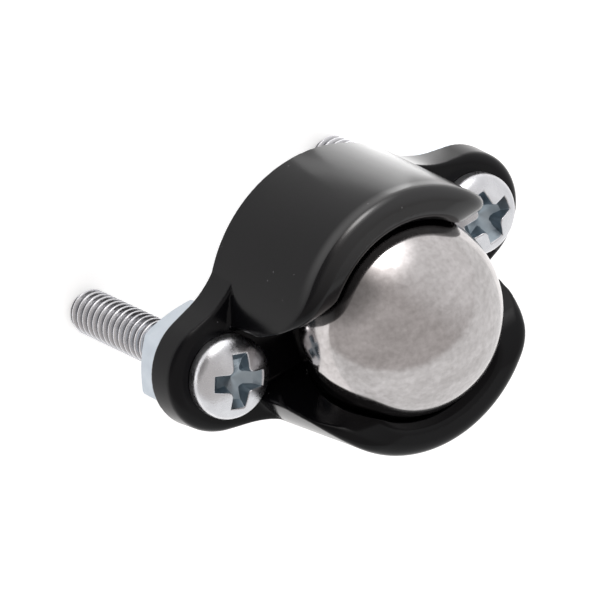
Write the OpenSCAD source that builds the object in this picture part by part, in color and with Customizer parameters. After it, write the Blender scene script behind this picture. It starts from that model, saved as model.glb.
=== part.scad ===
// Ball transfer unit: one steel ball held in a moulded housing with two screw ears.
// Millimetres. The origin is the centre of the mounting face, +Z points out past
// the ball, and the two screws stand on the X axis with their threads along -Z.

/* [Ball] */
// Ball diameter, 3/8 inch
ball_d = 9.525; // [6:0.005:14]
// Running gap between the ball and its socket, on the radius
ball_play = 0.15; // [0.1:0.01:0.3]
// Height of the whole unit, from the mounting face to the top of the ball
total_height = 10.16; // [8:0.01:14]

/* [Housing] */
// Thickness of the socket wall at the middle of the ball
wall = 1.4; // [1:0.05:3]
// How far the wall leans in from the mounting face to the rim, on the radius
wall_draft = 0.38; // [0:0.01:0.6]
// Height of the two arms
arm_height = 7.5; // [6.5:0.05:9]
// Rounding of the outer edge of the rim
rim_round = 0.4; // [0.1:0.05:0.8]
// How far the lip reaches in over the ball, on the radius
lip_catch = 0.14; // [0.05:0.01:0.3]
// Flare of the mouth above the lip, on the radius
mouth_flare = 0.33; // [0.1:0.01:0.6]
// Height of the flared mouth above the lip
mouth_height = 0.45; // [0.3:0.01:0.8]
// Diameter of the round opening in the floor
floor_opening_d = 4; // [2:0.1:6]

/* [Slots between the arms] */
// Half width of a slot at the bottom
slot_half = 1.6; // [1:0.05:2.2]
// Height at which a slot starts to flare
slot_flare_z = 3; // [2:0.1:4]
// Lean of the flared sides, in degrees
slot_flare_angle = 17.5; // [5:0.5:30]
// Rounding of the arms' upper corners
arm_round = 1.8; // [0.4:0.1:2]

/* [Ears] */
// Distance between the two screw holes
hole_spacing = 14.6; // [13.5:0.1:18]
// Radius of an ear's end
ear_r = 2.85; // [2.4:0.01:4]
// Thickness of an ear
ear_t = 1.7; // [1:0.05:2.5]
// Widening of an ear toward the body, in degrees
ear_taper = 14; // [5:1:25]
// Hollow curve between an ear and the body
ear_fillet = 4.5; // [2:0.1:6]
// Rounding of the upper edge at an ear's end
ear_edge = 0.5; // [0.1:0.05:0.6]
// Clearance on the radius round a screw's thread
hole_play = 0.11; // [0.05:0.01:0.3]
// Clearance on the radius round a screw's head
pocket_play = 0.26; // [0.1:0.01:0.5]

/* [Screws] */
// Thread's outer diameter, No. 2
screw_d = 2.18; // [1.5:0.01:3]
// Thread's root diameter, also the screw's size where the nut and the ear hold it
root_d = 1.63; // [1:0.01:2]
// Length under the head
screw_length = 12; // [6:0.1:20]
// Head diameter
head_d = 3.88; // [3:0.01:5]
// Head height
head_h = 1.47; // [1:0.01:2]
// Rounding of the head's shoulder
head_shoulder = 0.75; // [0.4:0.05:1]
// Radius of the head's dome
head_dome = 3.2; // [2.5:0.1:6]
// Reach of the cross recess from the head's centre
recess_r = 1.25; // [0.8:0.01:1.5]
// Width of a recess wing
recess_wing = 0.65; // [0.4:0.01:0.9]
// Depth of the recess below the dome's top
recess_depth = 1.1; // [0.6:0.05:1.2]
// How far the recess narrows toward its bottom, on the radius
recess_lean = 0.45; // [0.2:0.05:0.6]
// Turn of the recess in the right screw, in degrees
recess_turn_right = 63; // [0:1:90]
// Turn of the recess in the left screw, in degrees
recess_turn_left = 85; // [0:1:90]

/* [Nuts] */
// Size across the flats, 3/16 inch
nut_flats = 4.76; // [4:0.01:6]
// Thickness
nut_t = 1.6; // [1:0.05:2.5]
// Height of the chamfer at the outer face
nut_chamfer = 0.24; // [0.1:0.01:0.4]
// Clearance between the nut and the screw's thread
nut_play = 0.06; // [0.02:0.01:0.1]
// Turn of the nuts, in degrees
nut_turn = 5; // [0:1:60]

/* [Hidden] */
// overlap of one solid with the next, and how far a cut runs past the part
skin = 0.02;
over = 1;
big = 30;
ball_r = ball_d / 2;
ball_z = total_height - ball_r;
socket_r = ball_r + ball_play;
lip_r = ball_r - lip_catch;
lip_z = ball_z + sqrt(socket_r * socket_r - lip_r * lip_r);
mouth_r = lip_r + mouth_flare;
rim_zc = arm_height - rim_round;
body_r = socket_r + wall + wall_draft * ball_z / rim_zc;
rim_r = body_r - wall_draft;
screw_x = hole_spacing / 2;
hole_r = screw_d / 2 + hole_play;
pocket_r = head_d / 2 + pocket_play;
// an arm's rounded corner: its centre stands a little past the slot's flared side and
// the arm's top, so that every face is crossed and none is only touched
corner_c = arm_height - arm_round + skin / 2;
flare_y = slot_half + (arm_round - skin + (corner_c - slot_flare_z) * sin(slot_flare_angle))
          / cos(slot_flare_angle);
corner_z = corner_c + arm_round * sin(slot_flare_angle);
flare_from = slot_half + (corner_z - slot_flare_z) * tan(slot_flare_angle);
// the web between the ears ends just inside the leaning wall
web_r = body_r - wall_draft * ear_t / rim_zc - skin;
// ear outline: outward normal of the side line, and the hollow curve's centre
side_n = [sin(ear_taper), cos(ear_taper)];
side_d = screw_x * sin(ear_taper) + ear_r;
side_run = sqrt(pow(web_r + ear_fillet, 2) - pow(side_d + ear_fillet, 2));
fillet_c = [(side_d + ear_fillet) * side_n[0] + side_run * side_n[1],
            (side_d + ear_fillet) * side_n[1] - side_run * side_n[0]];
side_from = [screw_x + ear_r * side_n[0], ear_r * side_n[1]];
side_to = [fillet_c[0] - ear_fillet * side_n[0], fillet_c[1] - ear_fillet * side_n[1]];
body_at = fillet_c * (web_r / (web_r + ear_fillet));
// the rounding of an ear's end follows a slightly larger circle, so it runs out sideways,
// a few degrees before the straight sides begin
run_out = 6;
edge_shift = ear_edge / (1 - cos(90 - run_out - ear_taper));
tip_chamfer = (screw_d - root_d) / 2;
// head profile: centre of the shoulder's curve
shoulder_x = head_d / 2 - head_shoulder;
dome_z = head_h - head_dome;
shoulder_z = dome_z + sqrt(pow(head_dome - head_shoulder, 2) - shoulder_x * shoulder_x);
dome_x = shoulder_x * head_dome / (head_dome - head_shoulder);

// half profile of the round body, without the socket
module body_profile() {
    polygon([[0, 0], [body_r, 0],
             [rim_r, rim_zc], [rim_r - rim_round, arm_height], [0, arm_height]]);
    translate([rim_r - rim_round, rim_zc]) circle(r = rim_round, $fn = 64);
}

// flat outline of the base plate: the two ears and a round web just inside the body
module plate_outline() {
    difference() {
        union() {
            circle(r = web_r, $fn = 180);
            for (s = [-1, 1]) {
                translate([s * screw_x, 0]) circle(r = ear_r, $fn = 128);
                polygon([[0, body_at[1]], [s * body_at[0], body_at[1]],
                         [s * side_to[0], side_to[1]], [s * side_from[0], side_from[1]],
                         [s * side_from[0], -side_from[1]], [s * side_to[0], -side_to[1]],
                         [s * body_at[0], -body_at[1]], [0, -body_at[1]]]);
            }
        }
        for (s = [-1, 1], t = [-1, 1])
            translate([s * fillet_c[0], t * fillet_c[1]]) circle(r = ear_fillet, $fn = 160);
    }
}

// corner to take off an edge: material lies toward -X and below
module edge_corner() {
    difference() {
        translate([-ear_edge, -ear_edge]) square(ear_edge + over / 2);
        translate([-ear_edge, -ear_edge]) circle(r = ear_edge, $fn = 48);
    }
}

// rounding along the upper edge of one ear's end, running out before the straight sides
module ear_end_cut() {
    translate([screw_x - edge_shift, 0, ear_t]) rotate([0, 0, ear_taper - 90])
        rotate_extrude(angle = 180 - 2 * ear_taper, $fn = 128)
            translate([ear_r + edge_shift, 0]) edge_corner();
}

// slot profile across the unit, up to the arms' rounded corners: x is Y, y is Z
module slot_profile() {
    polygon([[-slot_half, ear_t / 2], [slot_half, ear_t / 2], [slot_half, slot_flare_z],
             [flare_from, corner_z], [flare_from, arm_height + over],
             [-flare_from, arm_height + over], [-flare_from, corner_z],
             [-slot_half, slot_flare_z]]);
}

// what the rounding of an arm's corner takes off, from the slot's side to the rim
module corner_profile() {
    difference() {
        translate([flare_from - over / 4, corner_z])
            square([flare_y - flare_from + over / 4, arm_height + over - corner_z]);
        translate([flare_y, corner_c]) circle(r = arm_round, $fn = 96);
    }
}

// round body above the base plate, cut into two arms, with room for the screw heads
module arms() {
    difference() {
        difference() {
            rotate_extrude($fn = 180) body_profile();
            for (m = [0, 1]) mirror([0, m, 0])
                translate([-big / 2, 0, 0]) rotate([90, 0, 90])
                    linear_extrude(height = big) corner_profile();
        }
        translate([-big / 2, 0, 0]) rotate([90, 0, 90])
            linear_extrude(height = big) slot_profile();
        for (s = [-1, 1]) translate([s * screw_x, 0, ear_t / 2])
            cylinder(r = pocket_r, h = arm_height, $fn = 96);
    }
}

module housing() {
    color("#1b1b1d") difference() {
        union() {
            difference() {
                linear_extrude(height = ear_t) plate_outline();
                for (m = [0, 1]) mirror([m, 0, 0]) ear_end_cut();
            }
            arms();
        }
        // ball socket, flared mouth and the opening in the floor
        translate([0, 0, ball_z]) sphere(r = socket_r, $fn = 180);
        translate([0, 0, lip_z]) cylinder(r1 = lip_r, r2 = mouth_r, h = mouth_height, $fn = 180);
        translate([0, 0, lip_z + mouth_height - skin / 4])
            cylinder(r = mouth_r, h = arm_height, $fn = 180);
        translate([0, 0, -over]) cylinder(d = floor_opening_d, h = ball_z + over, $fn = 96);
        // screw holes
        for (s = [-1, 1]) translate([s * screw_x, 0, -over])
            cylinder(r = hole_r, h = ear_t + 2 * over, $fn = 64);
    }
}

module ball() {
    color("#c9c7c5") translate([0, 0, ball_z]) sphere(d = ball_d, $fn = 180);
}

// half profile of a pan head, standing on z = 0
module head_profile() {
    square([head_d / 2, shoulder_z]);
    translate([shoulder_x, shoulder_z]) intersection() {
        circle(r = head_shoulder, $fn = 96);
        square(head_shoulder + over);
    }
    intersection() {
        translate([0, dome_z]) circle(r = head_dome, $fn = 360);
        polygon([[0, 0], [shoulder_x, 0], [shoulder_x, shoulder_z],
                 [dome_x, dome_z + sqrt(head_dome * head_dome - dome_x * dome_x)],
                 [dome_x, head_h + over], [0, head_h + over]]);
    }
}

// cross recess, its wings narrowing toward the bottom
module recess() {
    intersection() {
        union() {
            translate([-head_d / 2, -recess_wing / 2, head_h - recess_depth])
                cube([head_d, recess_wing, recess_depth + over]);
            translate([-recess_wing / 2, -head_d / 2, head_h - recess_depth])
                cube([recess_wing, head_d, recess_depth + over]);
        }
        translate([0, 0, head_h - recess_depth])
            cylinder(r1 = recess_r - recess_lean, r2 = recess_r + recess_lean / 3,
                     h = recess_depth + recess_lean / 4, $fn = 96);
    }
}

// pan head screw: its thread is full size from the nut's outer face to the tip
module screw(turn) {
    thread = screw_length - ear_t - nut_t - nut_play;
    color("#c4c5c8") translate([0, 0, ear_t]) difference() {
        union() {
            rotate_extrude($fn = 128) head_profile();
            translate([0, 0, -screw_length + tip_chamfer])
                cylinder(d = root_d, h = screw_length - tip_chamfer + head_h / 10, $fn = 64);
            translate([0, 0, -screw_length + tip_chamfer])
                cylinder(d = screw_d, h = thread - tip_chamfer, $fn = 64);
            translate([0, 0, -screw_length])
                cylinder(d1 = root_d, d2 = screw_d, h = tip_chamfer, $fn = 64);
        }
        rotate([0, 0, turn]) recess();
    }
}

module nut() {
    color("#cfd4da") translate([0, 0, -nut_t]) difference() {
        intersection() {
            rotate([0, 0, nut_turn])
                cylinder(d = nut_flats / cos(30), h = nut_t, $fn = 6);
            union() {
                cylinder(r1 = nut_flats / 2, r2 = nut_flats / 2 / cos(30) + skin / 2,
                         h = nut_chamfer, $fn = 96);
                translate([0, 0, nut_chamfer])
                    cylinder(r = nut_flats / 2 / cos(30) + skin / 2, h = nut_t, $fn = 96);
            }
        }
        translate([0, 0, -over])
            cylinder(r = root_d / 2 + nut_play, h = nut_t + 2 * over, $fn = 64);
    }
}

module screw_right() { translate([screw_x, 0, 0]) screw(recess_turn_right); }
module screw_left() { translate([-screw_x, 0, 0]) screw(recess_turn_left); }
module nut_right() { translate([screw_x, 0, 0]) nut(); }
module nut_left() { translate([-screw_x, 0, 0]) nut(); }

housing();
ball();
screw_right();
screw_left();
nut_right();
nut_left();
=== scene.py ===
# %% [markdown]
# # A small ball transfer unit
#
# One steel ball sits in a black moulded housing and may roll in it. Two pan head
# screws with nuts hold the housing by its ears. The imported CAD model is loaded first
# and stays the ruler: every piece below is built in the same frame, in metres.

# %% Load the imported model
import math

import bpy
import numpy as np
from mathutils import Matrix, Vector


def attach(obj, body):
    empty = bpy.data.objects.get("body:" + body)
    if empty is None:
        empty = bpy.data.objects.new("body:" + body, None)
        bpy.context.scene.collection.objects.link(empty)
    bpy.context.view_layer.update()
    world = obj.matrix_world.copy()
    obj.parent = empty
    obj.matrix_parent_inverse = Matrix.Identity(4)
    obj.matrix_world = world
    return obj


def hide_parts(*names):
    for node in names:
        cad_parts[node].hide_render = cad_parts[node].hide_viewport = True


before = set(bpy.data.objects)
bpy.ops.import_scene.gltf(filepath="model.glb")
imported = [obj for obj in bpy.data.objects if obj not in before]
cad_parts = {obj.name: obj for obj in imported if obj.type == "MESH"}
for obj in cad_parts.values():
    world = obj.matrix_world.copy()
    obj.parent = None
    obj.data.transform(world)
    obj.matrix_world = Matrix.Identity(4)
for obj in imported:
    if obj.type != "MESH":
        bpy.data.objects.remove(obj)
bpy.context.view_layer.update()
MM = 0.001

# %% [markdown]
# ## Camera
# The view looks down on the rolling side from in front of one screw, through a long
# lens, so the near ear is hardly larger than the far one. A camera is placed by three
# directions that stand square to each other: its right, its up and its back.

# %% Camera
CAMERA_AT = Vector((82.682, -98.265, 166.493)) * MM
CAMERA_RIGHT = Vector((-0.771728, 0.307421, 0.556712))
CAMERA_UP = Vector((-0.505008, -0.828301, -0.242660))
CAMERA_BACK = CAMERA_RIGHT.cross(CAMERA_UP)
LENS_MM = 276.77


def make_camera():
    """Makes the camera and turns its three directions into a rotation."""
    data = bpy.data.cameras.new("portrait_camera")
    data.lens = LENS_MM
    data.clip_start = 0.01
    data.clip_end = 10.0
    camera = bpy.data.objects.new("portrait_camera", data)
    bpy.context.scene.collection.objects.link(camera)
    turn = Matrix((CAMERA_RIGHT, CAMERA_UP, CAMERA_BACK)).transposed()
    camera.matrix_world = Matrix.Translation(CAMERA_AT) @ turn.to_4x4()
    bpy.context.scene.camera = camera
    return camera


camera = make_camera()
print(camera.name, round(CAMERA_AT.length / MM, 1), "mm from the mounting face")

# %% [markdown]
# ## Colours and nodes
# Colours are written as on a colour chart, in sRGB. Blender's shaders count in linear
# light, so one function turns them. A second function adds any shader node together
# with its settings and links, which keeps each material to a few lines.


# %% Helpers for colours and nodes
def linear(code):
    """Turns an sRGB hex colour such as "c8c5c3" into linear RGBA."""
    parts = [int(code[i : i + 2], 16) / 255 for i in (0, 2, 4)]
    light = [c / 12.92 if c <= 0.04045 else ((c + 0.055) / 1.055) ** 2.4 for c in parts]
    return (*light, 1.0)


def add(tree, kind, inputs=None, **settings):
    """Adds one node. An input is a value, a socket, or a node for its first output."""
    made = tree.nodes.new(kind)
    for name, value in settings.items():
        setattr(made, name, value)
    for name, value in (inputs or {}).items():
        if isinstance(value, bpy.types.Node):
            value = next(socket for socket in value.outputs if socket.enabled)
        if isinstance(value, bpy.types.NodeSocket):
            tree.links.new(value, made.inputs[name])
        else:
            made.inputs[name].default_value = value
    return made


def new_material(name):
    """An empty node material, with its output and object coordinates."""
    material = bpy.data.materials.new(name)
    material.use_nodes = True
    tree = material.node_tree
    tree.nodes.clear()
    out = tree.nodes.new("ShaderNodeOutputMaterial")
    where = tree.nodes.new("ShaderNodeTexCoord").outputs["Object"]
    return material, tree, out, where


def per_mm(size):
    """Scale of a pattern whose marks are `size` millimetres apart, in metres' space."""
    return 1 / (size * MM)


print("mid grey 808080 is", round(linear("808080")[0], 3), "in linear light")

# %% [markdown]
# ## Turning a formula into a mesh
# A moulded or forged part has no truly sharp edge. One way to get soft edges all over
# is to describe the part as a *distance field*: a function that says, for any point,
# how far it is from the surface, negative inside. Two fields are joined or cut with a
# rounded edge by one line of arithmetic, and a grid of points then shows where the
# surface passes. Each grid cell that the surface crosses gets one corner point, and
# neighbouring cells are joined by quads. Last, each point slides onto the exact
# surface and takes its direction as its normal, so highlights run smoothly.


# %% Field arithmetic: join, cut and keep, each with a rounded edge
def keep(a, b, r):
    """What lies in both fields. The edge between them is rounded with radius r."""
    outer = np.hypot(np.maximum(r + a, 0), np.maximum(r + b, 0))
    return np.minimum(-r, np.maximum(a, b)) + outer


def join(a, b, r):
    """What lies in either field, with a hollow fillet of radius r where they meet."""
    return -keep(-a, -b, r)


def cut(a, b, r):
    """Field a with field b taken away, the new edge rounded with radius r."""
    return keep(a, -b, r)


def fade(x, low, high):
    """0 below low, 1 above high, and a smooth step between."""
    t = np.clip((x - low) / (high - low), 0, 1)
    return t * t * (3 - 2 * t)


print("a rounded inside corner:", np.round(keep(-0.05, -0.05, 0.1), 4))


# %% From field to mesh
SLIDES = 3
LONGEST_SLIDE = 0.05
LEAST_SLOPE = 0.25


def grid_line(low, high, step):
    """Evenly spaced grid places from low to high."""
    return np.linspace(low, high, int(round((high - low) / step)) + 1)


def crossings(values, lines):
    """Finds where the surface crosses grid edges, and the quad round each crossing."""
    inside = values < 0
    points, quads = [], []
    for d in range(3):
        here = [slice(None)] * 3
        there = [slice(None)] * 3
        here[d], there[d] = slice(0, -1), slice(1, None)
        here, there = tuple(here), tuple(there)
        at = np.argwhere(inside[here] != inside[there])
        a = values[here][tuple(at.T)]
        b = values[there][tuple(at.T)]
        point = np.stack([lines[k][at[:, k]] for k in range(3)], 1)
        point[:, d] += (lines[d][at[:, d] + 1] - point[:, d]) * a / (a - b)
        e, f = (d + 1) % 3, (d + 2) % 3
        ring = []
        for back_e, back_f in ((0, 0), (1, 0), (1, 1), (0, 1)):
            cell = at.copy()
            cell[:, e] -= back_e
            cell[:, f] -= back_f
            ring.append(np.ravel_multi_index(cell.T, values.shape))
        ring = np.stack(ring, 1)
        outward = inside[here][tuple(at.T)]
        ring[~outward] = ring[~outward][:, ::-1]
        points.append(point)
        quads.append(ring)
    return np.concatenate(points), np.concatenate(quads)


def slope(field, p, h=0.002):
    """Direction in which the field grows fastest, by small steps of h millimetres."""
    out = np.empty_like(p)
    for d in range(3):
        ahead, behind = p.copy(), p.copy()
        ahead[:, d] += h
        behind[:, d] -= h
        out[:, d] = (field(*ahead.T) - field(*behind.T)) / (2 * h)
    return out


def skin(name, field, lines, at=(0, 0, 0)):
    """Builds a closed mesh of the surface where the field is zero. Lines are in mm."""
    values = field(*np.meshgrid(*lines, indexing="ij", sparse=True))
    points, rings = crossings(values, lines)
    cells, corner = np.unique(rings, return_inverse=True)
    corner = corner.reshape(rings.shape)
    p = np.zeros((len(cells), 3))
    seen = np.bincount(corner.ravel(), minlength=len(cells))
    for d in range(3):
        p[:, d] = np.bincount(corner.ravel(), np.repeat(points[:, d], 4)) / seen
    for _ in range(SLIDES):
        g = slope(field, p)
        size = np.maximum((g * g).sum(1, keepdims=True), LEAST_SLOPE)
        p -= np.clip(field(*p.T)[:, None] / size, -LONGEST_SLIDE, LONGEST_SLIDE) * g
    normals = slope(field, p)
    normals /= np.maximum(np.linalg.norm(normals, axis=1, keepdims=True), 1e-9)
    mesh = bpy.data.meshes.new(name)
    mesh.from_pydata((p + np.array(at)) * MM, [], corner)
    mesh.shade_smooth()
    mesh.normals_split_custom_set_from_vertices(normals)
    piece = bpy.data.objects.new(name, mesh)
    bpy.context.scene.collection.objects.link(piece)
    print(name, len(mesh.vertices), "points", len(mesh.polygons), "quads")
    return piece


print("each point slides", SLIDES, "times, by", LONGEST_SLIDE, "mm at most")

# %% [markdown]
# ## The moulded housing
# The housing is one injection moulding in black ABS: a round base plate with two
# screw ears, a spherical socket, and two arms that curl over the ball's widest part
# and keep it in. It could be made from bevelled booleans, but the thin lips and the
# slots meet at shallow angles, where bevels break. A distance field rounds every one
# of those edges by itself, just as a mould maker's cutter does.

# %% Sizes of the housing, in millimetres
BALL_R = 4.7625
BALL_Z = 5.3975
SOCKET_R = BALL_R + 0.15
LIP_R = BALL_R - 0.14
LIP_Z = BALL_Z + math.sqrt(SOCKET_R**2 - LIP_R**2)
MOUTH_R = LIP_R + 0.33
BODY_R = 6.6014
WALL_LEAN = 0.38
ARM_HEIGHT = 7.5
RIM_Z = 7.1
WALL_SLOPE = WALL_LEAN / RIM_Z
SLOT_HALF = 1.6
SLOT_FLARE_Z = 3.0
SLOT_LEAN = math.radians(17.5)
SCREW_X = 7.3
EAR_R = 2.85
EAR_T = 1.7
EAR_LEAN = math.radians(14)
EAR_DRAFT = 0.07
HOLE_R = 1.2
POCKET_R = 2.2
FLOOR_HOLE_R = 2.0
print("lip", round(LIP_Z, 2), "mm up, mouth", round(2 * MOUTH_R, 2), "mm wide")

# %% Its roundings, in millimetres
MOULD_EDGE = 0.12
RIM_ROUND = 0.6
RIM_ROUND_FROM, RIM_ROUND_TO = 5.2, 6.8
ARM_ROUND = 1.8
EAR_FILLET = 4.5
EAR_ROUND = 0.5
EAR_ROUND_FROM, EAR_ROUND_TO = SCREW_X - 1.0, SCREW_X + 2.0
FOOT_FILLET = 0.18
FOOT_FROM, FOOT_TO = 0.1, 0.7
BASE_EDGE = 0.1
LIP_EDGE = 0.06
HOLE_EDGE = 0.08
print("mould edges", MOULD_EDGE, "mm, rim", RIM_ROUND, "mm, arm corners", ARM_ROUND, "mm")


# %% Outline of the base plate
def plate_outline(x, y):
    """Distance to the flat outline: round body, two tapered ears, hollow corners."""
    px, py = np.abs(x), np.abs(y)
    s, c = math.sin(EAR_LEAN), math.cos(EAR_LEAN)
    reach = SCREW_X * s + EAR_R
    web_r = BODY_R - WALL_SLOPE * EAR_T
    run = math.sqrt((web_r + EAR_FILLET) ** 2 - (reach + EAR_FILLET) ** 2)
    cx = (reach + EAR_FILLET) * s + run * c
    cy = (reach + EAR_FILLET) * c - run * s
    side = px * s + py * c - reach
    end = np.hypot(px - SCREW_X, py) - EAR_R
    ear = np.where((px - SCREW_X) * c - py * s > 0, end, side)
    body = np.hypot(px, py) - web_r
    ux, uy = px - cx, py - cy
    between = (uy * s - ux * c > 0) & (ux * cy - uy * cx > 0)
    between = between & (ux * s + uy * c < 0)
    hollow = EAR_FILLET - np.hypot(ux, uy)
    return np.where(between, hollow, np.minimum(ear, body))


print("ear end at", round(float(plate_outline(SCREW_X + EAR_R, 0.0)), 4), "mm")

# %% [markdown]
# The arms are what the slot leaves of the round body. Seen from the end of the slot
# they have straight sides at the foot, flared sides above, and large rounded corners
# at the rim, so that nothing catches on them as the ball rolls.


# %% Arms: slot between them and their rounded corners
def arm_block(y, z):
    """Distance to both arms, seen along the slot."""
    py = np.abs(y)
    s, c = math.sin(SLOT_LEAN), math.cos(SLOT_LEAN)
    straight = py - SLOT_HALF
    flared = (py - SLOT_HALF) * c - (z - SLOT_FLARE_Z) * s
    blunt = np.maximum(-np.minimum(straight, flared), z - ARM_HEIGHT)
    centre_z = ARM_HEIGHT - ARM_ROUND
    centre_y = SLOT_HALF + (ARM_ROUND + (centre_z - SLOT_FLARE_Z) * s) / c
    u, w = py - centre_y, z - centre_z
    corner = (u < 0) & (u * s + w * c > 0)
    return np.where(corner, np.hypot(u, w) - ARM_ROUND, blunt)


def arms(x, y, z):
    """Distance to the round body above the plate, with pockets for the heads."""
    wall = np.hypot(x, y) - BODY_R + z * WALL_SLOPE
    edge = MOULD_EDGE + (RIM_ROUND - MOULD_EDGE) * fade(z, RIM_ROUND_FROM, RIM_ROUND_TO)
    body = keep(wall, arm_block(y, z), edge)
    pocket = np.hypot(np.abs(x) - SCREW_X, y) - POCKET_R
    return cut(body, pocket, MOULD_EDGE)


print("inside an arm, 2 mm off and 2 mm up:", round(float(arm_block(2.0, 2.0)), 2), "mm")


# %% The whole housing as one field
def housing_field(x, y, z):
    """Plate and arms joined, then the socket, mouth, floor opening and holes cut."""
    outline = plate_outline(x, y) + EAR_DRAFT * z
    r = np.hypot(x, y)
    ear_end = fade(np.abs(x), EAR_ROUND_FROM, EAR_ROUND_TO)
    plate = keep(outline, z - EAR_T, MOULD_EDGE + (EAR_ROUND - MOULD_EDGE) * ear_end)
    foot = FOOT_FILLET * fade(r - BODY_R - outline, FOOT_FROM, FOOT_TO)
    solid = keep(join(plate, arms(x, y, z), foot), -z, BASE_EDGE)
    socket = np.sqrt(r**2 + (z - BALL_Z) ** 2) - SOCKET_R
    flare = (MOUTH_R - LIP_R) / (ARM_HEIGHT - LIP_Z)
    mouth = (r - LIP_R - (z - LIP_Z) * flare) / math.hypot(1, flare)
    opening = join(socket, mouth, LIP_EDGE)
    opening = join(opening, r - FLOOR_HOLE_R, HOLE_EDGE)
    hole = np.hypot(np.abs(x) - SCREW_X, y) - HOLE_R
    return cut(cut(solid, opening, MOULD_EDGE), hole, HOLE_EDGE)


# Each grid starts and ends just outside its piece and keeps off the flat faces.
HOUSING_STEP = 0.1
housing_lines = (
    grid_line(-10.43, 10.37, HOUSING_STEP),
    grid_line(-6.73, 6.67, HOUSING_STEP),
    grid_line(-0.13, 7.67, HOUSING_STEP),
)
housing = skin("moulded_housing", housing_field, housing_lines)
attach(housing, "base")
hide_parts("housing")

# %% [markdown]
# ## The screws
# Each screw is cold formed: the pan head and its cross recess are struck in one blow,
# and the thread is rolled on afterwards, so crests and roots are rounded. A thread is
# a ridge whose height repeats once per turn and once per pitch. Writing it as a field
# lets head, shank and thread become one closed mesh. The field of a leaning face grows
# too fast, so it is multiplied by a number below one, which keeps its edges even.

# %% Sizes of the screw, in millimetres
THREAD_R = 1.09
ROOT_R = 0.815
PITCH = 0.4536
RIDGE_FROM, RIDGE_TO = 0.12, 0.9
RUN_OUT_FROM, RUN_OUT_TO = 0.3, 0.9
THREAD_EVEN = 0.7
SCREW_LENGTH = 12.0
TIP_SLIMMER = 0.08
CONE_LEAN = 0.9
CONE_EVEN = 0.74
TIP_RIDGE = 0.06
TIP_EDGE = 0.08
SHANK_TOP = 0.2
HEAD_R = 1.94
HEAD_H = 1.47
SHOULDER = 0.75
DOME_R = 3.2
HEAD_FILLET = 0.1
SEAT_EDGE = 0.08
print("thread:", round(25.4 / PITCH), "turns to the inch,", round(THREAD_R - ROOT_R, 3), "mm deep")


# %% Thread and shank
def thread(x, y, z, gap=0.0):
    """Distance to a right-hand rolled thread round the Z axis, grown by gap."""
    phase = (z / PITCH - np.arctan2(y, x) / (2 * math.pi)) % 1
    ridge = fade(np.abs(2 * phase - 1), RIDGE_FROM, RIDGE_TO)
    ridge = ridge * fade(-z, RUN_OUT_FROM, RUN_OUT_TO)
    surface = ROOT_R + (THREAD_R - ROOT_R) * ridge
    return (np.hypot(x, y) - surface - gap) * THREAD_EVEN


def shank(x, y, z):
    """Threaded shank with its tapered first turn at the tip. It ends in the head."""
    r = np.hypot(x, y)
    tip = (r - ROOT_R + TIP_SLIMMER - (z + SCREW_LENGTH) * CONE_LEAN) * CONE_EVEN
    rod = keep(keep(thread(x, y, z), tip, TIP_RIDGE), -z - SCREW_LENGTH, TIP_EDGE)
    return np.maximum(rod, z - SHANK_TOP)


print("the shank's axis lies", round(float(-shank(0.0, 0.0, -5.0)), 2), "mm deep")


# %% Pan head
def head_blank(r, z):
    """The head before the recess: a dome, a rounded shoulder and a flat seat."""
    shoulder_x = HEAD_R - SHOULDER
    dome_z = HEAD_H - DOME_R
    shoulder_z = dome_z + math.sqrt((DOME_R - SHOULDER) ** 2 - shoulder_x**2)
    u, w = r - shoulder_x, z - shoulder_z
    blunt = np.maximum(u, np.hypot(r, z - dome_z) - DOME_R + SHOULDER)
    corner = (w > 0) & (u * (shoulder_z - dome_z) - w * shoulder_x > 0)
    top = np.where(corner, np.hypot(u, w), blunt) - SHOULDER
    return keep(top, -z, SEAT_EDGE)


print("head edge field:", round(float(head_blank(HEAD_R, 0.5)), 3), "mm")

# %% [markdown]
# A cross recess is struck by a punch with four wings. The wings lean inwards and their
# sides taper, so the driver seats on them. Four numbers give their reach and their
# half width at the bottom, and how much both grow for each millimetre up.

# %% Sizes of the recess, in millimetres
RECESS_DEPTH = 1.0
WING_REACH, REACH_GROWTH = 0.62, 0.94
WING_HALF, HALF_GROWTH = 0.26, 0.17
WING_EVEN = 0.8
WING_CORNER = 0.24
RECESS_CONE = 0.36
RECESS_EDGE = 0.045


def cross_recess(x, y, z):
    """The punch that strikes the recess: two crossed wings that narrow downwards."""
    up = z - (HEAD_H - RECESS_DEPTH)
    reach = WING_REACH + up * REACH_GROWTH
    half = WING_HALF + up * HALF_GROWTH
    px, py = np.abs(x), np.abs(y)
    wing_a = np.maximum((px - reach) * WING_EVEN, py - half)
    wing_b = np.maximum((py - reach) * WING_EVEN, px - half)
    wings = join(wing_a, wing_b, WING_CORNER)
    return np.maximum(wings, RECESS_CONE * np.hypot(x, y) - up)


print("recess", RECESS_DEPTH, "mm deep")

# %% [markdown]
# Each mesh is marked where its surface was worked in another way: the walls that the
# punch struck, and the thread that the rolls pressed. They get finishes of their own,
# which carry painted shade: darker in the recess and in the thread's grooves.

# %% Both screws
HEAD_FINISH, RECESS_SHADED_FINISH, THREAD_SHADED_FINISH = range(3)
RECESS_FROM_Z = 0.3
RECESS_UNDER_HEAD = -0.07


def screw_field(degrees):
    """Field of a whole screw whose recess is turned by that many degrees."""
    c, s = math.cos(math.radians(degrees)), math.sin(math.radians(degrees))

    def field(x, y, z):
        recess = cross_recess(x * c + y * s, y * c - x * s, z)
        head = cut(head_blank(np.hypot(x, y), z), recess, RECESS_EDGE)
        return join(head, shank(x, y, z), HEAD_FILLET)

    return field


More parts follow.
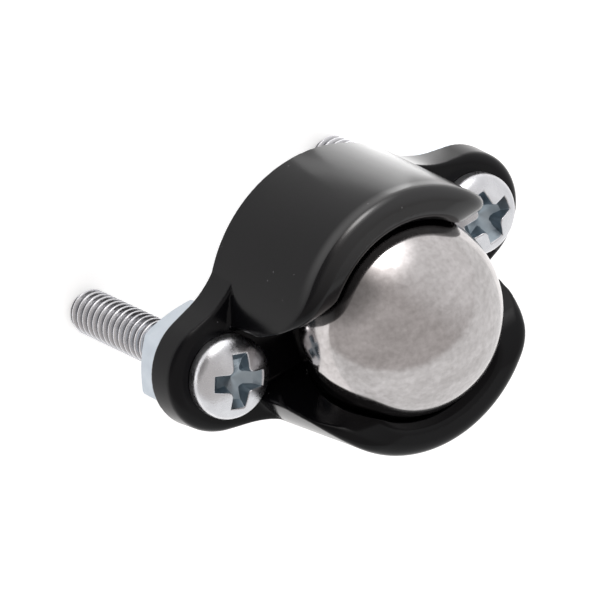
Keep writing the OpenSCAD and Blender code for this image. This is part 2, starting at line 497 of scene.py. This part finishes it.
def mark_finishes(screw, screw_x):
    """Gives each face of a screw its finish, by where it lies."""
    for face in screw.data.polygons:
        spot = face.center / MM
        r, z = math.hypot(spot.x - screw_x, spot.y), spot.z - EAR_T
        if z > RECESS_FROM_Z and head_blank(r, z) < RECESS_UNDER_HEAD:
            face.material_index = RECESS_SHADED_FINISH
        elif z < 0:
            face.material_index = THREAD_SHADED_FINISH
        else:
            face.material_index = HEAD_FINISH


screw_lines = (
    grid_line(-2.07, 2.03, 0.05),
    grid_line(-2.07, 2.03, 0.05),
    np.concatenate([grid_line(-12.11, -0.06, 0.05), grid_line(-0.02, 1.58, 0.04)]),
)
screws = []
for side, sign, recess_turn in (("right", 1, 66), ("left", -1, 5)):
    name = f"pan_head_screw_{side}"
    screw = skin(name, screw_field(recess_turn), screw_lines, (sign * SCREW_X, 0, EAR_T))
    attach(screw, "base")
    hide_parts(f"screw_{side}")
    mark_finishes(screw, sign * SCREW_X)
    screws.append(screw)

# %% [markdown]
# ## The nuts
# A small hex nut is cut from bar. Its outer face is turned to a cone, which leaves the
# arc on each flat, and the bore is countersunk and tapped. The tapped thread here is
# the screw's own field grown by a hair, so that nut and screw mesh without touching.

# %% Sizes of the nut, in millimetres
NUT_HALF = 2.38
NUT_T = 1.6
NUT_TURN = 5
NUT_CORNER = 0.1
NUT_EDGE = 0.06
CHAMFER_INSET = 0.04
CHAMFER_LEAN = 1.53
CHAMFER_EVEN = 0.547
CHAMFER_EDGE = 0.05
SINK_R = 1.25
TAP_GAP = 0.03
TAP_EDGE = 0.03
print("nut", 2 * NUT_HALF, "mm across the flats,", NUT_T, "mm thick")


# %% Nuts
def nut_field(x, y, z):
    """Hexagon, faces, outer chamfer and tapped bore. Local z runs from -NUT_T to 0."""
    r = np.hypot(x, y)
    flats = []
    for k in range(3):
        a = math.radians(NUT_TURN + 30 + 60 * k)
        flats.append(np.abs(x * math.cos(a) + y * math.sin(a)) - NUT_HALF)
    hexagon = keep(keep(flats[0], flats[1], NUT_CORNER), flats[2], NUT_CORNER)
    block = keep(keep(hexagon, -z - NUT_T, NUT_EDGE), z, NUT_EDGE)
    cone = (r - NUT_HALF + CHAMFER_INSET - (z + NUT_T) * CHAMFER_LEAN) * CHAMFER_EVEN
    tapped = thread(x, y, z - EAR_T, TAP_GAP)
    sink = r - SINK_R + np.minimum((z + NUT_T) * CONE_LEAN, -z * CONE_LEAN)
    bore = join(tapped, sink * CONE_EVEN, TAP_EDGE)
    return cut(keep(block, cone, CHAMFER_EDGE), bore, TAP_EDGE)


nut_lines = (
    grid_line(-2.87, 2.83, 0.06),
    grid_line(-2.87, 2.83, 0.06),
    grid_line(-1.68, 0.09, 0.06),
)
nuts = []
for side, sign in (("right", 1), ("left", -1)):
    nut = skin(f"hex_nut_{side}", nut_field, nut_lines, (sign * SCREW_X, 0, 0))
    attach(nut, "base")
    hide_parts(f"nut_{side}")
    nuts.append(nut)

# %% [markdown]
# ## The ball
# The ball is a 3/8 inch bearing ball. A mirror shows every facet, so its mesh has to be
# even: a cube is divided into a fine grid and blown up to a sphere, which avoids the
# pinched poles that a sphere of rings and segments has.

# %% Ball
BALL_CUTS = 48


def make_ball(cuts):
    """A sphere from a cube's six faces, spaced by equal angles, at the socket centre."""
    line = np.tan(np.linspace(-math.pi / 4, math.pi / 4, cuts + 1))
    a, b = np.meshgrid(line, line, indexing="ij")
    points, quads = [], []
    cell = np.arange((cuts + 1) ** 2).reshape(cuts + 1, cuts + 1)
    grid = np.stack([cell[:-1, :-1], cell[1:, :-1], cell[1:, 1:], cell[:-1, 1:]], -1)
    for d in range(3):
        for sign in (1, -1):
            face = np.empty((cuts + 1, cuts + 1, 3))
            face[..., d] = sign
            face[..., (d + 1) % 3] = a * sign
            face[..., (d + 2) % 3] = b
            quads.append(grid.reshape(-1, 4) + len(points) * cell.size)
            points.append(face.reshape(-1, 3))
    p = np.concatenate(points)
    p *= BALL_R / np.linalg.norm(p, axis=1, keepdims=True)
    rows, first = np.unique(np.round(p, 6), axis=0, return_inverse=True)
    mesh = bpy.data.meshes.new("bearing_ball")
    corners = first.reshape(-1)[np.concatenate(quads)]
    mesh.from_pydata((rows + (0, 0, BALL_Z)) * MM, [], corners)
    mesh.shade_smooth()
    mesh.normals_split_custom_set_from_vertices(rows / BALL_R)
    piece = bpy.data.objects.new("bearing_ball", mesh)
    bpy.context.scene.collection.objects.link(piece)
    return piece


ball = make_ball(BALL_CUTS)
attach(ball, "ball")
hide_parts("ball")
print("ball", len(ball.data.polygons), "quads")

# %% [markdown]
# ## Black ABS, injection moulded
# ABS takes the polish of its mould. This one is semi-gloss: the steel of the mould was
# left with a fine spark-eroded grain, so reflections are soft, and a few dust specks
# show on the dark surface. ABS has an IOR near 1.53. The grain of such a mould is some
# 0.03 mm wide, too fine to show, so it is drawn three times coarser. The plastic mirrors
# little, apart from a painted highlight along the upper edge of one arm, where it is
# made to mirror more.

# %% Material of the housing
MOULD_GRAIN = 0.09
DUST_APART = 0.9
GLOSS_CLOUD = 3.0
MIRRORS_LITTLE, MIRRORS_MORE = 0.15, 0.55
# Where the painted highlight sits: the upper edge of one arm, on one side.
HIGHLIGHT_TOWARD = (-0.3, -0.95, 0.0)
HIGHLIGHT_OUT = (1.5 * MM, 5.0 * MM)
HIGHLIGHT_UP = (6.3 * MM, 6.8 * MM)


def moulded_abs():
    """Semi-gloss black plastic with grain, uneven gloss, pale specks and a painted highlight."""
    material, tree, out, where = new_material("black_abs_moulded")
    cloud = add(
        tree,
        "ShaderNodeTexNoise",
        {"Vector": where, "Scale": per_mm(GLOSS_CLOUD), "Detail": 3.0},
    )
    grain = add(
        tree,
        "ShaderNodeTexNoise",
        {"Vector": where, "Scale": per_mm(MOULD_GRAIN), "Detail": 2.0},
    )
    specks = add(
        tree,
        "ShaderNodeTexVoronoi",
        {"Vector": where, "Scale": per_mm(DUST_APART), "Randomness": 1.0},
    )
    dust = add(
        tree,
        "ShaderNodeMapRange",
        {"Value": specks, "From Min": 0.035, "From Max": 0.06, "To Min": 1.0, "To Max": 0.0},
    )
    tone = add(
        tree,
        "ShaderNodeMix",
        {"Factor": cloud, "A": linear("070709"), "B": linear("0d0d10")},
        data_type="RGBA",
    )
    colour = add(
        tree,
        "ShaderNodeMix",
        {"Factor": dust, "A": tone, "B": linear("4a4a4c")},
        data_type="RGBA",
    )
    gloss = add(
        tree,
        "ShaderNodeMapRange",
        {"Value": cloud, "From Min": 0.3, "From Max": 0.7, "To Min": 0.13, "To Max": 0.22},
    )
    bump = add(
        tree,
        "ShaderNodeBump",
        {"Strength": 0.12, "Distance": 0.01 * MM, "Height": grain},
    )
    place = add(tree, "ShaderNodeSeparateXYZ", {"Vector": where})
    # Painted highlight: the specular level is raised on the upper edge of one arm, on one side.
    outward = add(
        tree, "ShaderNodeVectorMath", {0: where, 1: HIGHLIGHT_TOWARD}, operation="DOT_PRODUCT"
    )
    highlight_masks = []
    for measure, (low, high) in ((place.outputs["Z"], HIGHLIGHT_UP), (outward, HIGHLIGHT_OUT)):
        highlight_mask = add(
            tree,
            "ShaderNodeMapRange",
            {"Value": measure, "From Min": low, "From Max": high},
            interpolation_type="SMOOTHSTEP",
        )
        highlight_masks.append(highlight_mask)
    painted_highlight = add(tree, "ShaderNodeMath", {0: highlight_masks[0], 1: highlight_masks[1]}, operation="MULTIPLY")
    mirror = add(
        tree,
        "ShaderNodeMapRange",
        {"Value": painted_highlight, "To Min": MIRRORS_LITTLE, "To Max": MIRRORS_MORE},
    )
    shader = add(
        tree,
        "ShaderNodeBsdfPrincipled",
        {
            "Base Color": colour,
            "Roughness": gloss,
            "IOR": 1.53,
            "Specular IOR Level": mirror,
            "Normal": bump,
        },
    )
    tree.links.new(shader.outputs[0], out.inputs["Surface"])
    return material


housing.data.materials.append(moulded_abs())
print("housing:", housing.data.materials[0].name)

# %% [markdown]
# ## Bearing steel, ground and lapped
# The ball is hardened chromium steel, a slightly warm grey mirror. Rolling leaves fine
# hair scratches, dull clouds and small pits. The scratches are stretched noise: one
# direction of the pattern is drawn out several times longer than the other. Real hair
# scratches are hundredths of a millimetre wide. These are drawn coarser, so they show
# as streaks in the gloss.

# %% Material of the ball
WEAR_CLOUD = 3.0
PIT_MOTTLE = 0.26
HAIR_SCRATCH = 2.4
HAIR_TURN = (0.5, 0.3, 0.9)
HAIR_DRAWN = (1.0, 4.0, 1.5)


def lapped_steel():
    """Polished steel with cloudy wear, hair scratches and specks."""
    material, tree, out, where = new_material("bearing_steel_lapped")
    cloud = add(
        tree,
        "ShaderNodeTexNoise",
        {"Vector": where, "Scale": per_mm(WEAR_CLOUD), "Detail": 4.0},
    )
    mottle = add(
        tree,
        "ShaderNodeTexNoise",
        {"Vector": where, "Scale": per_mm(PIT_MOTTLE), "Detail": 5.0},
    )
    drawn = add(
        tree,
        "ShaderNodeMapping",
        {"Vector": where, "Rotation": HAIR_TURN, "Scale": HAIR_DRAWN},
    )
    hair = add(
        tree,
        "ShaderNodeTexNoise",
        {"Vector": drawn, "Scale": per_mm(HAIR_SCRATCH), "Detail": 4.0},
    )
    smear = add(tree, "ShaderNodeMix", {"Factor": 0.45, "A": cloud, "B": hair})
    wear = add(tree, "ShaderNodeMix", {"Factor": 0.4, "A": smear, "B": mottle})
    dull = add(
        tree,
        "ShaderNodeMapRange",
        {"Value": wear, "From Min": 0.38, "From Max": 0.64},
    )
    colour = add(
        tree,
        "ShaderNodeMix",
        {"Factor": dull, "A": linear("cecaca"), "B": linear("aca8a7")},
        data_type="RGBA",
    )
    rough = add(
        tree,
        "ShaderNodeMapRange",
        {"Value": smear, "From Min": 0.35, "From Max": 0.68, "To Min": 0.07, "To Max": 0.19},
    )
    height = add(tree, "ShaderNodeMath", {0: hair, 1: mottle}, operation="ADD")
    bump = add(
        tree,
        "ShaderNodeBump",
        {"Strength": 0.03, "Distance": 0.004 * MM, "Height": height},
    )
    shader = add(
        tree,
        "ShaderNodeBsdfPrincipled",
        {"Base Color": colour, "Metallic": 1.0, "Roughness": rough, "Normal": bump},
    )
    tree.links.new(shader.outputs[0], out.inputs["Surface"])
    return material


ball.data.materials.append(lapped_steel())
print("ball:", ball.data.materials[0].name)

# %% [markdown]
# ## Zinc plate on steel
# Screws and nuts are zinc plated, and one recipe with other numbers makes all their
# finishes. The heads are plated bright, nearly a mirror with small ripples from the
# forming. In the recess the plate is duller and a little blue, and painted darker:
# painted shade. The nuts are blue from the passivation bath. The rolled threads are
# bright on their crests and painted dark in their grooves: painted shade. The crystals
# of zinc are far too fine to show, so the ripples are drawn 0.12 mm apart.

# %% Material of the screws and nuts
ZINC_CLOUD = 0.7
ZINC_RIPPLE = 0.12
# Radii between which the painted groove shade fades out to the bright crest.
GROOVE_R, CREST_R = 0.86 * MM, 1.05 * MM


def paint_groove_shade(tree, where, colour, groove_shade):
    """Painted shade: mixes the colour with a darker one near the root of either screw's thread."""
    place = add(tree, "ShaderNodeSeparateXYZ", {"Vector": where})
    across = add(tree, "ShaderNodeMath", {0: place.outputs["X"]}, operation="ABSOLUTE")
    off = add(tree, "ShaderNodeMath", {0: across, 1: SCREW_X * MM}, operation="SUBTRACT")
    flat = add(tree, "ShaderNodeCombineXYZ", {"X": off, "Y": place.outputs["Y"]})
    radius = add(tree, "ShaderNodeVectorMath", {0: flat}, operation="LENGTH")
    crest = add(
        tree,
        "ShaderNodeMapRange",
        {"Value": radius, "From Min": GROOVE_R, "From Max": CREST_R},
    )
    return add(
        tree,
        "ShaderNodeMix",
        {"Factor": crest, "A": linear(groove_shade), "B": colour},
        data_type="RGBA",
    )


def zinc_plate(name, pale, dark, smooth, dull, ripple, groove_shade=None):
    """Plated metal: two tones in clouds, uneven gloss, fine ripples, painted shade in grooves."""
    material, tree, out, where = new_material(name)
    cloud = add(
        tree,
        "ShaderNodeTexNoise",
        {"Vector": where, "Scale": per_mm(ZINC_CLOUD), "Detail": 4.0},
    )
    fine = add(
        tree,
        "ShaderNodeTexNoise",
        {"Vector": where, "Scale": per_mm(ZINC_RIPPLE), "Detail": 3.0},
    )
    colour = add(
        tree,
        "ShaderNodeMix",
        {"Factor": cloud, "A": linear(pale), "B": linear(dark)},
        data_type="RGBA",
    )
    if groove_shade:
        colour = paint_groove_shade(tree, where, colour, groove_shade)
    rough = add(
        tree,
        "ShaderNodeMapRange",
        {"Value": cloud, "From Min": 0.3, "From Max": 0.7, "To Min": smooth, "To Max": dull},
    )
    bump = add(
        tree,
        "ShaderNodeBump",
        {"Strength": ripple, "Distance": 0.01 * MM, "Height": fine},
    )
    shader = add(
        tree,
        "ShaderNodeBsdfPrincipled",
        {"Base Color": colour, "Metallic": 1.0, "Roughness": rough, "Normal": bump},
    )
    tree.links.new(shader.outputs[0], out.inputs["Surface"])
    return material


bright_zinc = zinc_plate("zinc_plate_bright", "e6e7ea", "c4c4c8", 0.2, 0.34, 0.7)
blue_zinc = zinc_plate("zinc_plate_blue", "c8cfd6", "b4bdc6", 0.3, 0.42, 0.2)
# Painted shade: the recess finish is a darker, slightly bluer copy of the bright plate.
shaded_recess_zinc = zinc_plate("zinc_plate_recess_shaded", "b4bec5", "87959f", 0.26, 0.4, 0.4)
# The thread's finish is bright on the crests, with painted shade in the grooves.
thread_zinc = zinc_plate("zinc_plate_thread", "e6e6e9", "c0c0c4", 0.16, 0.3, 0.7, "4a4b4d")
for piece in screws:
    for finish in (bright_zinc, shaded_recess_zinc, thread_zinc):
        piece.data.materials.append(finish)
for piece in nuts:
    piece.data.materials.append(blue_zinc)
print("screws:", [finish.name for finish in screws[0].data.materials], "nuts:", blue_zinc.name)

# %% [markdown]
# ## The floor
# The part stands just above a round sheet of pale paper, which keeps its shadow. Under
# even white light such paper would look a little grey, so it also glows a little, but
# only for the eye and for what mirrors or glass show. Its glow lights nothing.

# %% Floor
FLOOR_Z = -10.36
FLOOR_R = 46.0
FLOOR_CORNERS = 96
PAPER_GLOW = 0.5
PAPER_FIBRE = 2.0


def make_floor():
    """A flat round sheet under the screw tips."""
    turns = [2 * math.pi * k / FLOOR_CORNERS for k in range(FLOOR_CORNERS)]
    rim = [(FLOOR_R * math.cos(a) * MM, FLOOR_R * math.sin(a) * MM, FLOOR_Z * MM) for a in turns]
    mesh = bpy.data.meshes.new("paper_floor")
    mesh.from_pydata(rim, [], [list(range(FLOOR_CORNERS))])
    floor = bpy.data.objects.new("paper_floor", mesh)
    bpy.context.scene.collection.objects.link(floor)
    return floor


def paper():
    """Pale paper: plain diffuse with faint fibres, and the glow that only eyes see."""
    material, tree, out, where = new_material("pale_paper")
    path = add(tree, "ShaderNodeLightPath").outputs
    seen = path["Is Camera Ray"]
    for ray in ("Is Glossy Ray", "Is Transmission Ray"):
        seen = add(tree, "ShaderNodeMath", {0: seen, 1: path[ray]}, operation="MAXIMUM")
    strength = add(tree, "ShaderNodeMath", {0: seen, 1: PAPER_GLOW}, operation="MULTIPLY")
    fibre = add(
        tree,
        "ShaderNodeTexNoise",
        {"Vector": where, "Scale": per_mm(PAPER_FIBRE), "Detail": 3.0},
    )
    tone = add(
        tree,
        "ShaderNodeMix",
        {"Factor": fibre, "A": linear("f4f4f4"), "B": linear("fafafa")},
        data_type="RGBA",
    )
    matt = add(tree, "ShaderNodeBsdfDiffuse", {"Color": tone})
    glow = add(tree, "ShaderNodeEmission", {"Color": linear("ffffff"), "Strength": strength})
    both = add(tree, "ShaderNodeAddShader", {0: matt, 1: glow})
    tree.links.new(both.outputs[0], out.inputs["Surface"])
    return material


floor = make_floor()
floor.data.materials.append(paper())
print("floor", round(abs(FLOOR_Z + SCREW_LENGTH - EAR_T), 2), "mm below the screw tips")

# %% [markdown]
# ## The white tent
# Mirrors show the room, so the room is part of the look. The part stands in a white
# tent. Its open front, where the camera is, shows a dimmer room that is palest to the
# upper right and has one dark corner on the left. One large soft window with a hot
# middle stands above the camera. It could be built from big lamps and cloths, but a
# world shader needs only directions: how far a ray points along an axis says what it
# meets. The camera's own rays see plain white.

# %% Tent
ROOM_DIM, ROOM_PALE = "cdc9c7", "fbfafa"
ROOM_TOWARD = (CAMERA_BACK + 0.6 * CAMERA_UP - 0.15 * CAMERA_RIGHT).normalized()
ROOM_BRIGHT = 0.65 * CAMERA_RIGHT + 0.75 * CAMERA_UP
DARK_TOWARD = 0.4 * CAMERA_BACK + 0.45 * CAMERA_UP - 0.8 * CAMERA_RIGHT
DARK_DEPTH = 0.6
WINDOW_TOWARD = (0.36 * CAMERA_BACK + 0.9 * CAMERA_UP - 0.24 * CAMERA_RIGHT).normalized()
WINDOW_SIDE = WINDOW_TOWARD.cross(CAMERA_BACK).normalized()
WINDOW_RISE = WINDOW_SIDE.cross(WINDOW_TOWARD).normalized()
WINDOW_HALF = (0.58, 0.75)
WINDOW_POWER = 3.0
CORE_POWER = 2.2


def make_tent():
    """World light: white tent, a dimmer room at the open front, one soft window."""
    world = bpy.data.worlds.new("white_tent")
    bpy.context.scene.world = world
    world.use_nodes = True
    tree = world.node_tree
    tree.nodes.clear()
    out = tree.nodes.new("ShaderNodeOutputWorld")
    toward = add(tree, "ShaderNodeTexCoord").outputs["Generated"]
    zones = {}
    for zone, axis, low, high in (
        ("room", ROOM_TOWARD, -0.19, -0.04),
        ("bright", ROOM_BRIGHT, 0.1, 0.95),
        ("dark", DARK_TOWARD, 0.6, 1.0),
        ("ahead", WINDOW_TOWARD, 0.0, 0.2),
    ):
        along = add(
            tree, "ShaderNodeVectorMath", {0: toward, 1: tuple(axis)}, operation="DOT_PRODUCT"
        )
        zones[zone] = add(
            tree,
            "ShaderNodeMapRange",
            {"Value": along, "From Min": low, "From Max": high},
            interpolation_type="SMOOTHSTEP",
        )

    offsets = []
    for axis, half in zip((WINDOW_SIDE, WINDOW_RISE), WINDOW_HALF):
        offset = add(
            tree,
            "ShaderNodeVectorMath",
            {0: toward, 1: tuple(axis / half)},
            operation="DOT_PRODUCT",
        )
        offsets.append(offset)
    flat = add(tree, "ShaderNodeCombineXYZ", {"X": offsets[0], "Y": offsets[1]})
    spread = add(tree, "ShaderNodeVectorMath", {0: flat}, operation="LENGTH")
    window = add(
        tree,
        "ShaderNodeMapRange",
        {"Value": spread, "From Min": 1.0, "From Max": 0.0},
        interpolation_type="SMOOTHSTEP",
    )
    core = add(
        tree,
        "ShaderNodeMapRange",
        {"Value": spread, "From Min": 0.5, "From Max": 0.1, "To Max": CORE_POWER},
        interpolation_type="SMOOTHSTEP",
    )

    tone = add(
        tree,
        "ShaderNodeMix",
        {"Factor": zones["bright"], "A": linear(ROOM_DIM), "B": linear(ROOM_PALE)},
        data_type="RGBA",
    )
    unlit = add(
        tree,
        "ShaderNodeMath",
        {0: window, 1: -DARK_DEPTH, 2: DARK_DEPTH},
        operation="MULTIPLY_ADD",
    )
    dark = add(tree, "ShaderNodeMath", {0: zones["dark"], 1: unlit}, operation="MULTIPLY")
    tone = add(
        tree,
        "ShaderNodeMix",
        {"Factor": dark, "A": tone, "B": linear("000000")},
        data_type="RGBA",
    )
    path = add(tree, "ShaderNodeLightPath").outputs
    unseen = add(
        tree, "ShaderNodeMath", {0: 1.0, 1: path["Is Camera Ray"]}, operation="SUBTRACT"
    )
    room = add(tree, "ShaderNodeMath", {0: zones["room"], 1: unseen}, operation="MULTIPLY")
    colour = add(
        tree,
        "ShaderNodeMix",
        {"Factor": room, "A": linear("ffffff"), "B": tone},
        data_type="RGBA",
    )
    glow = add(tree, "ShaderNodeMath", {0: window, 1: core}, operation="ADD")
    for factor in (zones["ahead"], unseen, WINDOW_POWER):
        glow = add(tree, "ShaderNodeMath", {0: glow, 1: factor}, operation="MULTIPLY")
    strength = add(tree, "ShaderNodeMath", {0: 1.0, 1: glow}, operation="ADD")
    sky = add(tree, "ShaderNodeBackground", {"Color": colour, "Strength": strength})
    tree.links.new(sky.outputs[0], out.inputs["Surface"])


make_tent()
print("tent: white, dimmer in front, window toward", tuple(round(c, 2) for c in WINDOW_TOWARD))

# %% [markdown]
# ## Light panels
# Black gloss shows only what it mirrors. Two pale panels lie flat on the floor beside
# one arm, and their reflection draws the grey band along its wall. They could be
# glowing cards, but a lamp that the camera doesn't see leaves the floor plain white.
# The second panel is dimmer, so the band's lower end fades.

# %% Light panels
PANEL_LIFT = 0.1
PANELS = (
    ((-13.0, -6.2), (7.0, 12.5), 1.85),
    ((-11.5, -14.0), (10.0, 3.1), 1.35),
)


def make_panel(centre, size, radiance):
    """A soft panel that lies on the floor, faces up and is hidden from the camera."""
    data = bpy.data.lights.new("low_panel", "AREA")
    data.shape = "RECTANGLE"
    data.size, data.size_y = size[0] * MM, size[1] * MM
    data.energy = radiance * math.pi * data.size * data.size_y
    panel = bpy.data.objects.new("low_panel", data)
    panel.location = Vector((*centre, FLOOR_Z + PANEL_LIFT)) * MM
    panel.rotation_euler = (math.pi, 0, 0)
    panel.visible_camera = False
    bpy.context.scene.collection.objects.link(panel)


for centre, size, radiance in PANELS:
    make_panel(centre, size, radiance)
print(len(PANELS), "panels on the floor, the brighter one", PANELS[0][2], "times as bright as white")

# %% [markdown]
# ## Finish
# The picture keeps the plain Standard view, so a colour renders as it is written.

# %% Finish
scene = bpy.context.scene
scene.view_settings.view_transform = "Standard"
